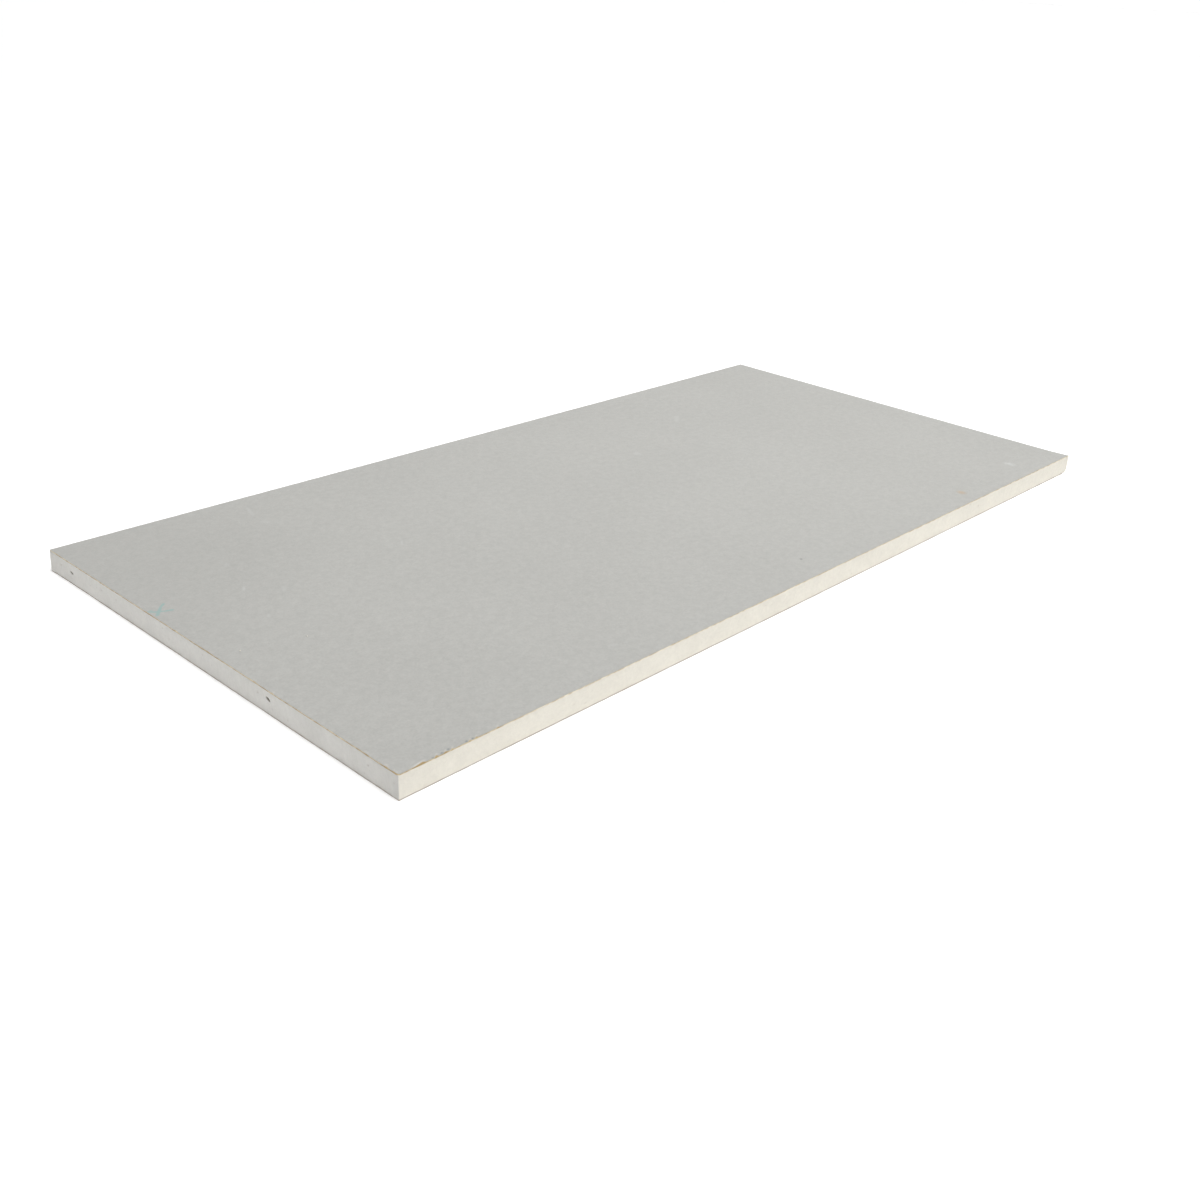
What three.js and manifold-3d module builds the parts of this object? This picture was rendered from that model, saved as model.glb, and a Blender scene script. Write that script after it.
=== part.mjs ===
// A cut piece of half-inch drywall, lying on its back with the grey face up.
// Three layers are glued together: the back paper, the gypsum core and the face paper.
// Millimetres, +Z up. X runs along the length, from the sawn end (-X) to the snapped end (+X).
// The origin is at the middle of the underside.

import * as THREE from "three";
import { mergeVertices } from "three/addons/utils/BufferGeometryUtils.js";
import Module from "manifold-3d";

const wasm = await Module();
wasm.setup();

// The board: 2 ft by 1 ft by 1/2 in.
const LENGTH = 609.6;
const WIDTH = 304.8;
const THICKNESS = 12.7;
const FACE_PAPER_THICKNESS = 0.45;
const BACK_PAPER_THICKNESS = 0.45;

// The corners of the sawn end are worn round, the papers more than the gypsum.
const PAPER_CORNER_RADIUS = 1.5;
const CORE_CORNER_RADIUS = 0.7;
const CORNER_ARC_STEPS = 6;

// The snapped end: the core is scored at the face and broken, so the break runs back under the face paper
// and its lower edge is chipped away.
const BREAK_LEAN = 0.7;
const BREAK_CHIP = 2.7;
const BREAK_CHIP_POWER = 7;
const BREAK_STEPS_ACROSS = 76;
const BREAK_STEPS_DOWN = 12;

// The break wanders in waves across the width: how long and high each one is, and how far it is turned, in
// radians, on the way down from the face.
const BREAK_WAVES = [
  { length: 74, height: 0.4, turn: -0.9 },
  { length: 23, height: 0.25, turn: -1.6 },
];

// The back paper tore off a little behind the far end, in waves across the width.
const TEAR_SETBACK = 4;
const TEAR_STEPS = 60;
const TEAR_WAVES = [
  { length: 41, height: 0.3, turn: 0.5 },
  { length: 13, height: 0.25, turn: 2 },
];

// Air voids that the saw opened in the near end: the place of each along the end and above the underside,
// its half sizes along the end, up, and into the core, and its tilt in degrees.
const AIR_VOIDS = [
  { along: 127.9, up: 6.9, halfLong: 1.8, halfHigh: 0.6, depth: 1.8, tilt: 5 },
  { along: -57.9, up: 8.2, halfLong: 2, halfHigh: 0.65, depth: 2.2, tilt: 20 },
];
const VOID_STEPS_ROUND = 14;
const VOID_STEPS_OVER = 10;

// Levels and ends that the layers share.
const NEAR_END = -LENGTH / 2;
const FAR_END = LENGTH / 2;
const CORE_BOTTOM = BACK_PAPER_THICKNESS;
const CORE_TOP = THICKNESS - FACE_PAPER_THICKNESS;
const CORE_THICKNESS = CORE_TOP - CORE_BOTTOM;

// How far a cutting solid runs past the face that it cuts.
const CUT_OVERRUN = 5;

const PAPER_ROUGHNESS = 0.9;
const GYPSUM_ROUGHNESS = 1;
const FACE_PAPER_GREY = 0xbdbdb8;
const GYPSUM_CREAM = 0xe8e4da;
const BACK_PAPER_BROWN = 0xb8a689;

// A closed geometry as a solid that can be cut.
function solidOf(geometry) {
  const shell = geometry.clone();
  shell.deleteAttribute("normal");
  shell.deleteAttribute("uv");
  const merged = mergeVertices(shell);
  return new wasm.Manifold(new wasm.Mesh({
    numProp: 3,
    vertProperties: merged.getAttribute("position").array,
    triVerts: new Uint32Array(merged.index.array),
  }));
}

// A cut solid as a geometry again.
function geometryOf(solid) {
  const mesh = solid.getMesh();
  const geometry = new THREE.BufferGeometry();
  geometry.setAttribute("position", new THREE.BufferAttribute(mesh.vertProperties, mesh.numProp));
  geometry.setIndex(new THREE.BufferAttribute(mesh.triVerts, 1));
  geometry.computeVertexNormals();
  return geometry;
}

// Waves added up at a place across the width.
function wavesAt(waves, y, share) {
  let sum = 0;
  for (const { length, height, turn } of waves) {
    sum += height * share * Math.sin((2 * Math.PI * y) / length + turn * share);
  }
  return sum;
}

// A straight far end, from the front corner to the rear one.
function straightEnd() {
  return [new THREE.Vector2(FAR_END, -WIDTH / 2), new THREE.Vector2(FAR_END, WIDTH / 2)];
}

// The torn far end of the back paper, from the front corner to the rear one.
function tornEnd() {
  const points = [];
  for (let i = 0; i <= TEAR_STEPS; i++) {
    const y = WIDTH * (i / TEAR_STEPS - 0.5);
    points.push(new THREE.Vector2(FAR_END - TEAR_SETBACK - wavesAt(TEAR_WAVES, y, 1), y));
  }
  return points;
}

// A layer seen from above: the given far end, and worn corners at the sawn end.
function layerOutline(farEnd, radius) {
  const side = WIDTH / 2;
  const outline = new THREE.Shape(farEnd);
  outline.absarc(NEAR_END + radius, side - radius, radius, Math.PI / 2, Math.PI, false);
  outline.absarc(NEAR_END + radius, radius - side, radius, Math.PI, Math.PI * 1.5, false);
  outline.closePath();
  return outline;
}

// A flat layer between two levels. The levels are written onto the vertices, so that two layers glued
// together share exactly one height.
function layerGeometry(outline, bottom, top) {
  const options = { depth: 1, bevelEnabled: false, curveSegments: CORNER_ARC_STEPS };
  const geometry = new THREE.ExtrudeGeometry(outline, options);
  const position = geometry.getAttribute("position");
  for (let i = 0; i < position.count; i++) {
    position.setZ(i, position.getZ(i) > 0 ? top : bottom);
  }
  return geometry;
}

// How far the break lies behind the far end of the face paper, at a place across the width and a height.
function breakDepth(y, z) {
  const down = THREE.MathUtils.clamp((CORE_TOP - z) / CORE_THICKNESS, 0, 1);
  return BREAK_LEAN * down + BREAK_CHIP * down ** BREAK_CHIP_POWER + wavesAt(BREAK_WAVES, y, down);
}

// The waste beyond the break: a block whose near side takes the shape of the break.
function wasteBeyondBreak() {
  const reach = BREAK_LEAN + BREAK_CHIP + CUT_OVERRUN;
  const width = WIDTH + 2 * CUT_OVERRUN;
  const height = CORE_THICKNESS + 2 * CUT_OVERRUN;
  const waste = new THREE.BoxGeometry(reach, width, height, 1, BREAK_STEPS_ACROSS, BREAK_STEPS_DOWN);
  waste.translate(FAR_END + reach / 2, 0, CORE_BOTTOM + CORE_THICKNESS / 2);
  const position = waste.getAttribute("position");
  for (let i = 0; i < position.count; i++) {
    if (position.getX(i) < FAR_END + reach / 2) {
      position.setX(i, FAR_END - breakDepth(position.getY(i), position.getZ(i)));
    }
  }
  return solidOf(waste);
}

// One air void: an egg-shaped hollow, half of it past the sawn face.
function airVoid({ along, up, halfLong, halfHigh, depth, tilt }) {
  const hollow = new THREE.SphereGeometry(1, VOID_STEPS_ROUND, VOID_STEPS_OVER);
  hollow.scale(depth, halfLong, halfHigh);
  hollow.rotateX(THREE.MathUtils.degToRad(tilt));
  hollow.translate(NEAR_END, along, up);
  return solidOf(hollow);
}

function gypsumCore() {
  const outline = layerOutline(straightEnd(), CORE_CORNER_RADIUS);
  let core = solidOf(layerGeometry(outline, CORE_BOTTOM, CORE_TOP));
  core = core.subtract(wasteBeyondBreak());
  for (const place of AIR_VOIDS) {
    core = core.subtract(airVoid(place));
  }
  const material = new THREE.MeshStandardMaterial({
    color: GYPSUM_CREAM,
    roughness: GYPSUM_ROUGHNESS,
    metalness: 0,
    flatShading: true,
  });
  return namedMesh("gypsum_core", geometryOf(core), material);
}

// A paper with the given far end, lying between two levels.
function paperLayer(name, farEnd, bottom, top, color) {
  const material = new THREE.MeshStandardMaterial({
    color,
    roughness: PAPER_ROUGHNESS,
    metalness: 0,
  });
  const outline = layerOutline(farEnd, PAPER_CORNER_RADIUS);
  return namedMesh(name, layerGeometry(outline, bottom, top), material);
}

function namedMesh(name, geometry, material) {
  const mesh = new THREE.Mesh(geometry, material);
  mesh.name = name;
  return mesh;
}

const drywallSheet = new THREE.Group();
drywallSheet.name = "drywall_sheet";
drywallSheet.add(
  gypsumCore(),
  paperLayer("face_paper", straightEnd(), CORE_TOP, THICKNESS, FACE_PAPER_GREY),
  paperLayer("back_paper", tornEnd(), 0, CORE_BOTTOM, BACK_PAPER_BROWN),
);

export default drywallSheet;
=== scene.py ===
"""A cut piece of drywall, lying on its back with the grey face up.

Each of its three layers is one closed surface. A section is carried round the outline of the sheet: it starts on
the ridge line under the middle, runs out to the edge, climbs the edge, and runs back to the ridge over the middle.
Two crumbs of gypsum lie on the grey face.
"""
import itertools
import math

import bmesh
import bpy
import numpy as np
from mathutils import Matrix, Vector


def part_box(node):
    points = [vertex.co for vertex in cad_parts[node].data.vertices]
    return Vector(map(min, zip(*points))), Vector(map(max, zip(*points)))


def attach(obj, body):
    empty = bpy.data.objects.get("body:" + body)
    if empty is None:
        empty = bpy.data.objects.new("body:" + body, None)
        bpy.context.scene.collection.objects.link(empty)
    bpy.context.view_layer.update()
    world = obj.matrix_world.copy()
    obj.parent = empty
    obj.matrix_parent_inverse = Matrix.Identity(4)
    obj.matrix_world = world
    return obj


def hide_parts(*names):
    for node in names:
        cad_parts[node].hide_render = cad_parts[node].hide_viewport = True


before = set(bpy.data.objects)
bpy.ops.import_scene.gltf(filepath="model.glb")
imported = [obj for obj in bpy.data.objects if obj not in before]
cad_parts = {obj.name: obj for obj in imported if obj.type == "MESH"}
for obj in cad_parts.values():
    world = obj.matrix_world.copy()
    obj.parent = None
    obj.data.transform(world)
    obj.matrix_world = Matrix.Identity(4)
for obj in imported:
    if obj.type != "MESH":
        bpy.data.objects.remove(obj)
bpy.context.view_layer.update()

MM = 0.001

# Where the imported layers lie, in metres.
core_low, core_high = (np.array(corner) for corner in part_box("gypsum_core"))
face_low, face_high = (np.array(corner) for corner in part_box("face_paper"))
back_low, back_high = (np.array(corner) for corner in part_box("back_paper"))
NEAR_END = face_low[0]
FAR_END = face_high[0]
HALF_WIDTH = face_high[1]
RIDGE_HALF = (FAR_END - NEAR_END) / 2 - HALF_WIDTH

# Corner radii. The face paper is worn round at one corner of the sawn end, and what lies under it is sharper.
FACE_CORNERS = {"sawn_front": 1.5 * MM, "sawn_rear": 0.5 * MM, "snapped": 0.3 * MM}
LOWER_CORNERS = {"sawn_front": 0.4 * MM, "sawn_rear": 0.4 * MM, "snapped": 0.3 * MM}

# The break at the far end of the core: the same lean, chip and waves as the solid has, with rougher grain on top.
BREAK_LEAN = 0.7 * MM
BREAK_CHIP = 2.7 * MM
BREAK_CHIP_POWER = 7
BREAK_WAVES = (
    {"length": 74 * MM, "height": 0.40 * MM, "turn": -0.9},
    {"length": 23 * MM, "height": 0.25 * MM, "turn": -1.6},
)
BREAK_SQUEEZE = 9 * MM

# The torn far end of the back paper, also as the solid has it.
TEAR_SETBACK = 4 * MM
TEAR_WAVES = (
    {"length": 41 * MM, "height": 0.30 * MM, "turn": 0.5},
    {"length": 13 * MM, "height": 0.25 * MM, "turn": 2},
)
TEAR_SQUEEZE = 25 * MM

# At the front corner of the snapped end the core and the face paper broke further out. At the rear corner of the
# sawn end the saw ran off square. Both die out over the reach from the corner.
CORE_HELD_OUT = 1.4 * MM
FACE_HELD_OUT = 1.8 * MM
SAW_RUN_OFF = 0.65 * MM
CORNER_REACH = 8 * MM

# Air voids that the saw opened: place along the end, height, half sizes, depth, and tilt in degrees.
AIR_VOIDS = (
    {"along": 128.4 * MM, "up": 6.9 * MM, "half_long": 1.8 * MM, "half_high": 0.65 * MM, "deep": 1.7 * MM, "tilt": 12},
    {"along": -57.8 * MM, "up": 8.2 * MM, "half_long": 1.95 * MM, "half_high": 0.74 * MM, "deep": 2.6 * MM, "tilt": 20},
)


# ---------------------------------------------------------------- shapes as arrays

NOISE_TABLE_SIZE = 8192
LATTICE_PRIMES = (73856093, 19349663, 83492791)
SEW_WITHIN = 1e-7


def smooth_noise(points, cell, seed):
    """Random numbers from -1 to 1 sit on a cubic lattice of the given cell size. Between them they are blended
    with the smoothstep 3f^2 - 2f^3 of the place f inside the cell."""
    table = np.random.default_rng(seed).uniform(-1, 1, NOISE_TABLE_SIZE)
    place = points / cell
    corner = np.floor(place).astype(np.int64)
    inside = place - corner
    blend = inside * inside * (3 - 2 * inside)
    total = np.zeros(points.shape[:-1])
    for step in itertools.product((0, 1), repeat=3):
        key = (corner + step) * np.array(LATTICE_PRIMES)
        value = table[(key[..., 0] ^ key[..., 1] ^ key[..., 2]) % table.size]
        total += value * np.prod(np.where(step, blend, 1 - blend), axis=-1)
    return total


def rough_noise(points, cell, seed, octaves=3):
    """Smooth noise summed over octaves, each with half the cell and half the height of the one before."""
    return sum(
        smooth_noise(points, cell / 2 ** k, seed + k) / 2 ** k
        for k in range(octaves)
    )


def smoothstep(low, high, value):
    """0 below low, 1 above high, and the curve 3t^2 - 2t^3 between them."""
    t = np.clip((value - low) / (high - low), 0, 1)
    return t * t * (3 - 2 * t)


def waves_at(waves, y, share=1.0):
    """Sine waves across the width, added up: each has its height and its turn times the share."""
    return sum(
        wave["height"] * share * np.sin(2 * np.pi * y / wave["length"] + wave["turn"] * share)
        for wave in waves
    )


def draw_back(points, depth, squeeze):
    """The far end moved back by a depth that dies out over the squeeze length, with smoothstep."""
    points[..., 0] -= depth * smoothstep(FAR_END - squeeze, FAR_END, points[..., 0])


def splay(points, outline, down):
    """The saw ran off square at the rear corner, so the foot of the sawn end stands out there."""
    near_rear = np.exp(-(HALF_WIDTH - points[..., 1]) / CORNER_REACH)
    points[..., 0] -= SAW_RUN_OFF * near_rear * outline.sawn * np.sqrt(np.clip(down, 0, 1))


def side_run(start, end, spacing, stretches):
    """Points on a straight side, evenly spaced, and closer together over each stretch (low, high, spacing)."""
    axis = int(np.argmax(np.abs(end - start)))
    places = np.linspace(start[axis], end[axis], round(abs(end[axis] - start[axis]) / spacing) + 1)
    for low, high, step in stretches:
        closer = np.arange(max(low, places.min()), min(high, places.max()), step)
        places = np.union1d(places[(places < low) | (places > high)], closer)
    places = np.union1d(places, [start[axis], end[axis]])[:: 1 if end[axis] > start[axis] else -1]
    run = np.tile(start, (len(places), 1))
    run[:, axis] = places
    return run


class Outline:
    """The edge of a layer seen from above, as columns going counter-clockwise from the sawn end's front corner:
    front, snapped end, rear, sawn end, with a quarter circle at each corner."""

    SIDES = ("front", "snapped", "rear", "sawn")
    CORNER_STEPS = 5

    def __init__(self, radius, spacing, finer=()):
        near, far, side = NEAR_END, FAR_END, HALF_WIDTH
        corners = [
            (np.array([near, -side]), radius["sawn_front"]),
            (np.array([far, -side]), radius["snapped"]),
            (np.array([far, side]), radius["snapped"]),
            (np.array([near, side]), radius["sawn_rear"]),
        ]
        points, angles = [], []
        for k, name in enumerate(self.SIDES):
            (start, start_radius), (end, end_radius) = corners[k], corners[(k + 1) % 4]
            along = (end - start) / np.linalg.norm(end - start)
            out_angle = -np.pi / 2 + k * np.pi / 2
            stretches = [stretch for where, *stretch in finer if where == name]
            run = side_run(start + along * start_radius, end - along * end_radius, spacing[name], stretches)
            points.append(run)
            angles.append(np.full(len(run), out_angle))
            inward = -np.array([math.cos(out_angle), math.sin(out_angle)])
            centre = end - along * end_radius + inward * end_radius
            turn = out_angle + np.linspace(0, np.pi / 2, self.CORNER_STEPS + 2)[1:-1]
            points.append(centre + end_radius * np.stack([np.cos(turn), np.sin(turn)], axis=1))
            angles.append(turn)
        self.xy = np.concatenate(points)
        angle = np.concatenate(angles)
        self.out = np.stack([np.cos(angle), np.sin(angle)], axis=1)
        ridge_x = np.clip(self.xy[:, 0], -RIDGE_HALF, RIDGE_HALF)
        self.ridge = np.stack([ridge_x, np.zeros(len(ridge_x))], axis=1)
        self.sawn = np.clip(-self.out[:, 0], 0, 1) ** 2
        self.snapped = np.clip(self.out[:, 0], 0, 1) ** 2
        self.long = self.out[:, 1] ** 2
        self.front = np.clip(-self.out[:, 1], 0, 1) ** 2
        self.rear = np.clip(self.out[:, 1], 0, 1) ** 2

    def point(self, z):
        """The outline lifted to a height, as one row of points."""
        return np.column_stack([self.xy, np.broadcast_to(z, len(self.xy))])

    def inset(self, distance, z):
        """The outline shrunk by the same distance on every side, as a hip roof's plan shrinks to its ridge."""
        share = np.minimum(np.asarray(distance) / HALF_WIDTH, 1)
        xy = self.xy + (self.ridge - self.xy) * np.reshape(share, (-1, 1))
        return np.column_stack([xy, np.broadcast_to(z, len(xy))])


def closed_surface(name, shells, shades=None, sharp_degrees=45):
    """A mesh of closed shells, each made from rows of points. Each row is joined to the next with quads and the
    last column to the first. The first and last rows are doubled on themselves, and are merged there."""
    points, quads, start = [], [], 0
    for rows in map(np.asarray, shells):
        count, columns, _ = rows.shape
        index = start + np.arange(count * columns).reshape(count, columns)
        ahead = np.roll(index, -1, axis=1)
        quads.append(np.stack([index[:-1], ahead[:-1], ahead[1:], index[1:]], axis=-1).reshape(-1, 4))
        points.append(rows.reshape(-1, 3))
        start += count * columns
    mesh = bpy.data.meshes.new(name)
    mesh.from_pydata(np.concatenate(points), [], np.concatenate(quads).tolist())
    for key, values in (shades or {}).items():
        layer = mesh.attributes.new(key, "FLOAT", "POINT")
        layer.data.foreach_set("value", np.asarray(values, np.float32).ravel())
    sewn = bmesh.new()
    sewn.from_mesh(mesh)
    bmesh.ops.remove_doubles(sewn, verts=sewn.verts, dist=SEW_WITHIN)
    sewn.to_mesh(mesh)
    sewn.free()
    mesh.shade_smooth()
    mesh.set_sharp_from_angle(angle=math.radians(sharp_degrees))
    piece = bpy.data.objects.new(name, mesh)
    bpy.context.scene.collection.objects.link(piece)
    return piece


# ---------------------------------------------------------------- the gypsum core

# Rows up the edge, closer together where the air voids are.
VOIDS_FROM, VOIDS_TO = 6.1 * MM, 9.3 * MM
CORE_HEIGHTS = np.unique(np.concatenate([
    np.linspace(core_low[2], VOIDS_FROM, 13),
    np.linspace(VOIDS_FROM, VOIDS_TO, 24),
    np.linspace(VOIDS_TO, core_high[2], 8),
]))
CORE_SPACING = {"front": 1.5 * MM, "snapped": 0.55 * MM, "rear": 2.0 * MM, "sawn": 0.45 * MM}

# How far the gypsum lies behind the outline on every cut edge, and how much further where a blade went along it.
EDGE_SET_BACK = 0.06 * MM
CUT_SET_BACK = 0.10 * MM

# Pits left by air bubbles: how many, the smallest radius and what chance adds to it, how far they stay from the
# papers, and how many columns of the outline each can reach.
PORE_COUNT = 150
PORE_SMALLEST = 0.16 * MM
PORE_SPREAD = 0.32 * MM
PORE_MARGIN = 0.6 * MM
PORE_COLUMNS = 12

RUBBLE_HIGH = 0.42 * MM
RUBBLE_CELL = 3.8 * MM


def break_depth(y, down):
    """How far the break lies behind the far end: lean times the way down, plus a chip that grows with its power,
    plus sine waves across the width that turn on the way down."""
    return BREAK_LEAN * down + BREAK_CHIP * down ** BREAK_CHIP_POWER + waves_at(BREAK_WAVES, y, down)


def near_front_corner(y):
    """1 at the front corner of the snapped end, where the layers broke further out, and dying out behind it."""
    return np.exp(-(y + HALF_WIDTH) / CORNER_REACH)


def void_depth(y, z):
    """Egg-shaped hollows sunk into the sawn end: deep times (1 - q^2)^0.8, with q the distance in half sizes."""
    depth = np.zeros(y.shape)
    for void in AIR_VOIDS:
        tilt = math.radians(void["tilt"])
        dy, dz = y - void["along"], z - void["up"]
        a = (dy * math.cos(tilt) + dz * math.sin(tilt)) / void["half_long"]
        b = (dz * math.cos(tilt) - dy * math.sin(tilt)) / void["half_high"]
        depth = np.maximum(depth, void["deep"] * np.clip(1 - a * a - b * b, 0, 1) ** 0.8)
    return depth


def pore_depth(points, outline):
    """Small round pits left by air bubbles: radius times exp(-(d/radius)^2), scattered over the cut edges."""
    draw = np.random.default_rng(41)
    columns = draw.integers(0, len(outline.xy), PORE_COUNT)
    heights = draw.uniform(core_low[2] + PORE_MARGIN, core_high[2] - PORE_MARGIN, PORE_COUNT)
    radii = PORE_SMALLEST + PORE_SPREAD * draw.random(PORE_COUNT) ** 4
    depth = np.zeros(points.shape[:-1])
    for column, height, radius in zip(columns, heights, radii):
        first, last = max(column - PORE_COLUMNS, 0), column + PORE_COLUMNS + 1
        near = points[:, first:last]
        centre = np.array([*outline.xy[column], height])
        distance = np.linalg.norm(near - centre, axis=-1)
        pit = radius * np.exp(-(distance / radius) ** 2)
        depth[:, first:last] = np.maximum(depth[:, first:last], pit)
    return depth


def saw_marks(y, z):
    """Strokes of the saw: noise that is narrow along the end and long up it, on lines that lean and bend. Slow
    noise along the end makes the strokes deep in some stretches and faint in others."""
    middle = (core_low[2] + core_high[2]) / 2
    along = y + 0.22 * (z - middle) + 9.0 * (z - middle) ** 2
    strokes = np.stack([along, np.zeros_like(along), 0.07 * z], axis=-1)
    slow = np.stack([y, np.zeros_like(y), z], axis=-1)
    share = 0.35 + 0.65 * smoothstep(-0.3, 0.6, smooth_noise(slow, 26 * MM, 8))
    coarse = 0.08 * MM * smooth_noise(strokes, 1.7 * MM, 5)
    fine = 0.06 * MM * smooth_noise(strokes, 0.7 * MM, 6)
    return share * (coarse + fine)


def make_core():
    """The section is one straight climb up the edge. Noise, pits, voids and saw marks set it back from the outline,
    and the far end is drawn back to the break. The shades give the painted shadow in the hollows, the darkening
    towards the sawn end's corners, and where it is sawn or broken."""
    finer = [
        ("sawn", void["along"] - 2.4 * MM, void["along"] + 2.4 * MM, 0.12 * MM)
        for void in AIR_VOIDS
    ]
    outline = Outline(LOWER_CORNERS, CORE_SPACING, finer)
    z = np.broadcast_to(CORE_HEIGHTS[:, None], (len(CORE_HEIGHTS), len(outline.xy)))
    x = np.broadcast_to(outline.xy[:, 0], z.shape)
    y = np.broadcast_to(outline.xy[:, 1], z.shape)
    points = np.stack([x, y, z], axis=-1)

    grain = 0.035 * MM * rough_noise(points, 1.1 * MM, 11)
    drag = 0.05 * MM * smooth_noise(points * [0.12, 0.12, 1], 1.0 * MM, 15)
    swell = 0.05 * MM * smooth_noise(points, 24 * MM, 17)
    to_face = np.minimum(z - core_low[2], core_high[2] - z)
    crumble = 0.06 * MM * np.exp(-to_face / (0.3 * MM)) * (1 + smooth_noise(points, 1.8 * MM, 21))
    foot = np.exp(-(z - core_low[2]) / (0.7 * MM)) * smoothstep(0.75, 1.0, x / FAR_END)
    foot = 0.35 * MM * foot * np.clip(rough_noise(points, 7 * MM, 23), 0, 1)
    pores = pore_depth(points, outline)
    voids = void_depth(y, z) * outline.sawn
    depth = EDGE_SET_BACK + grain + crumble + pores + voids
    long_cut = drag + swell + foot + CUT_SET_BACK
    depth = depth + outline.sawn * (saw_marks(y, z) + CUT_SET_BACK) + outline.long * long_cut
    depth = depth * (1 - 0.8 * outline.snapped) * (1 - 0.4 * outline.rear)
    points = points - depth[..., None] * np.append(outline.out, np.zeros((len(outline.out), 1)), axis=1)

    down = (core_high[2] - z) / (core_high[2] - core_low[2])
    splay(points, outline, down)
    rubble = RUBBLE_HIGH * rough_noise(points, RUBBLE_CELL, 31, 5) * smoothstep(0.0, 0.12, down) * (0.5 + down)
    held = near_front_corner(y) * (1 - 0.5 * down ** 8)
    broken_back = break_depth(y, down) * (1 - held) + rubble * (1 - near_front_corner(y))
    draw_back(points, np.maximum(broken_back, 0) - CORE_HELD_OUT * held, BREAK_SQUEEZE)

    under = outline.inset(HALF_WIDTH, core_low[2])
    over = outline.inset(HALF_WIDTH, core_high[2])
    rows = np.concatenate([under[None], points, over[None]])
    # Painted shadow: the voids, and faintly the pits, are painted dark by how deep they are.
    hollow_shadow = np.clip(voids / (0.9 * MM), 0, 1) + np.clip(pores / (0.35 * MM), 0, 1) * 0.25
    flat = np.zeros((1, len(outline.xy)))
    spread = np.ones_like(hollow_shadow)
    to_corner = HALF_WIDTH - np.abs(y)
    # The sawn end is painted darker towards its corners: a narrow band at each corner and a wide fade.
    corner_darkening = outline.sawn * (0.7 * np.exp(-to_corner / (1.6 * MM)) + 0.5 * np.exp(-to_corner / (22 * MM)))
    shades = {
        "hollow_shadow": np.concatenate([flat, hollow_shadow, flat]),
        "corner_darkening": np.concatenate([flat, corner_darkening, flat]),
        "sawn": np.concatenate([flat, spread * outline.sawn, flat]),
        "broken": np.concatenate([flat, spread * outline.snapped, flat]),
    }
    return closed_surface("gypsum_core_cut", [rows], shades)


# ---------------------------------------------------------------- the papers

FACE_SPACING = {"front": 0.45 * MM, "snapped": 0.5 * MM, "rear": 0.45 * MM, "sawn": 0.5 * MM}
FACE_FINER = (
    ("front", -304 * MM, -256 * MM, 0.2 * MM),
    ("sawn", -151 * MM, -136 * MM, 0.25 * MM),
)

# Rows over the face, by their distance from the grey ply's edge in millimetres, and where its burr has died out.
PAPER_RINGS = (0.25, 0.5, 0.8, 1.3, 2.2, 4, 12, 50)
FLAT_FROM = 4

# The brown plies of the face paper, under its grey ply: the height of each one's middle as a share of the
# paper's thickness, and of the grooves between them.
PLY_MIDDLES = (0.14, 0.38, 0.61)
PLY_GROOVES = (0.26, 0.50, 0.73)
GROOVE = 0.035 * MM

# Places where the saw tore the grey ply back: side, place along it, half length, depth, and how much deeper the
# tear is at its lower end than at its upper one.
TEARS = (
    ("front", -293.1, 3.3, 0.80, -0.2),
    ("front", -284.7, 1.1, 0.55, 0.6),
    ("front", -279.5, 1.3, 0.50, 0.6),
    ("front", -275.9, 1.2, 0.55, 0.6),
    ("front", -266.1, 1.1, 0.50, 0.6),
    ("front", -262.4, 1.3, 0.55, 0.6),
    ("front", -250.2, 1.2, 0.35, 0.0),
    ("sawn", -150.3, 3.0, 0.34, 0.2),
    ("sawn", -144.6, 2.6, 0.30, 0.0),
    ("sawn", -131.0, 4.0, 0.16, 0.0),
    ("sawn", -61.5, 2.4, 0.24, 0.3),
    ("sawn", -47.0, 3.0, 0.22, 0.0),
    ("sawn", -8.0, 2.0, 0.20, 0.0),
    ("sawn", 21.0, 2.4, 0.26, 0.0),
    ("sawn", 58.0, 3.0, 0.20, 0.0),
)

# The torn place whose margin of pale fibres is widest: the middle of the margin along the front, its half length.
PALE_MARGIN = (-294.8, 4.6)

# Gypsum dust on the plies. Along the long cuts it starts past the first of these stretches, and thins out over the
# second. On the sawn end it grows over the third, and again over the fourth, which is next to the rear corner.
DUST_STARTS = (-262 * MM, -225 * MM)
DUST_THINS = (-120 * MM, -60 * MM)
DUST_GROWS = (10 * MM, 140 * MM)
DUST_AT_REAR = (146.5 * MM, 149.5 * MM)

# Places near the front edge where the face is pressed in, and the depth and half width of the dents.
DENTS = ((-286.0, -151.9), (-280.9, -151.4), (-277.1, -150.9), (-267.3, -151.3), (-263.8, -151.4))
DENT_DEEP = 0.16 * MM
DENT_HALF = 0.6 * MM


def ragged_edge(outline, seed):
    """How far the fibres of a paper's edge stop short of the outline: noise along the edge on three scales."""
    points = outline.point(0.0)
    coarse = np.clip(smooth_noise(points, 9 * MM, seed), 0, 1)
    middle = smooth_noise(points, 2.6 * MM, seed + 1)
    fine = smooth_noise(points, 1.0 * MM, seed + 2)
    share = 1 - 0.6 * np.maximum(outline.snapped, outline.rear)
    return MM * (0.10 + 0.10 * coarse + 0.04 * middle + 0.04 * fine) * share


def bump_along(places, middle, half):
    """1 at the middle of a stretch and 0 past its half length: (1 - d^2)^2 of the distance d in half lengths."""
    d = np.clip((places / MM - middle) / half, -1, 1)
    return (1 - d * d) ** 2, d


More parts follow.
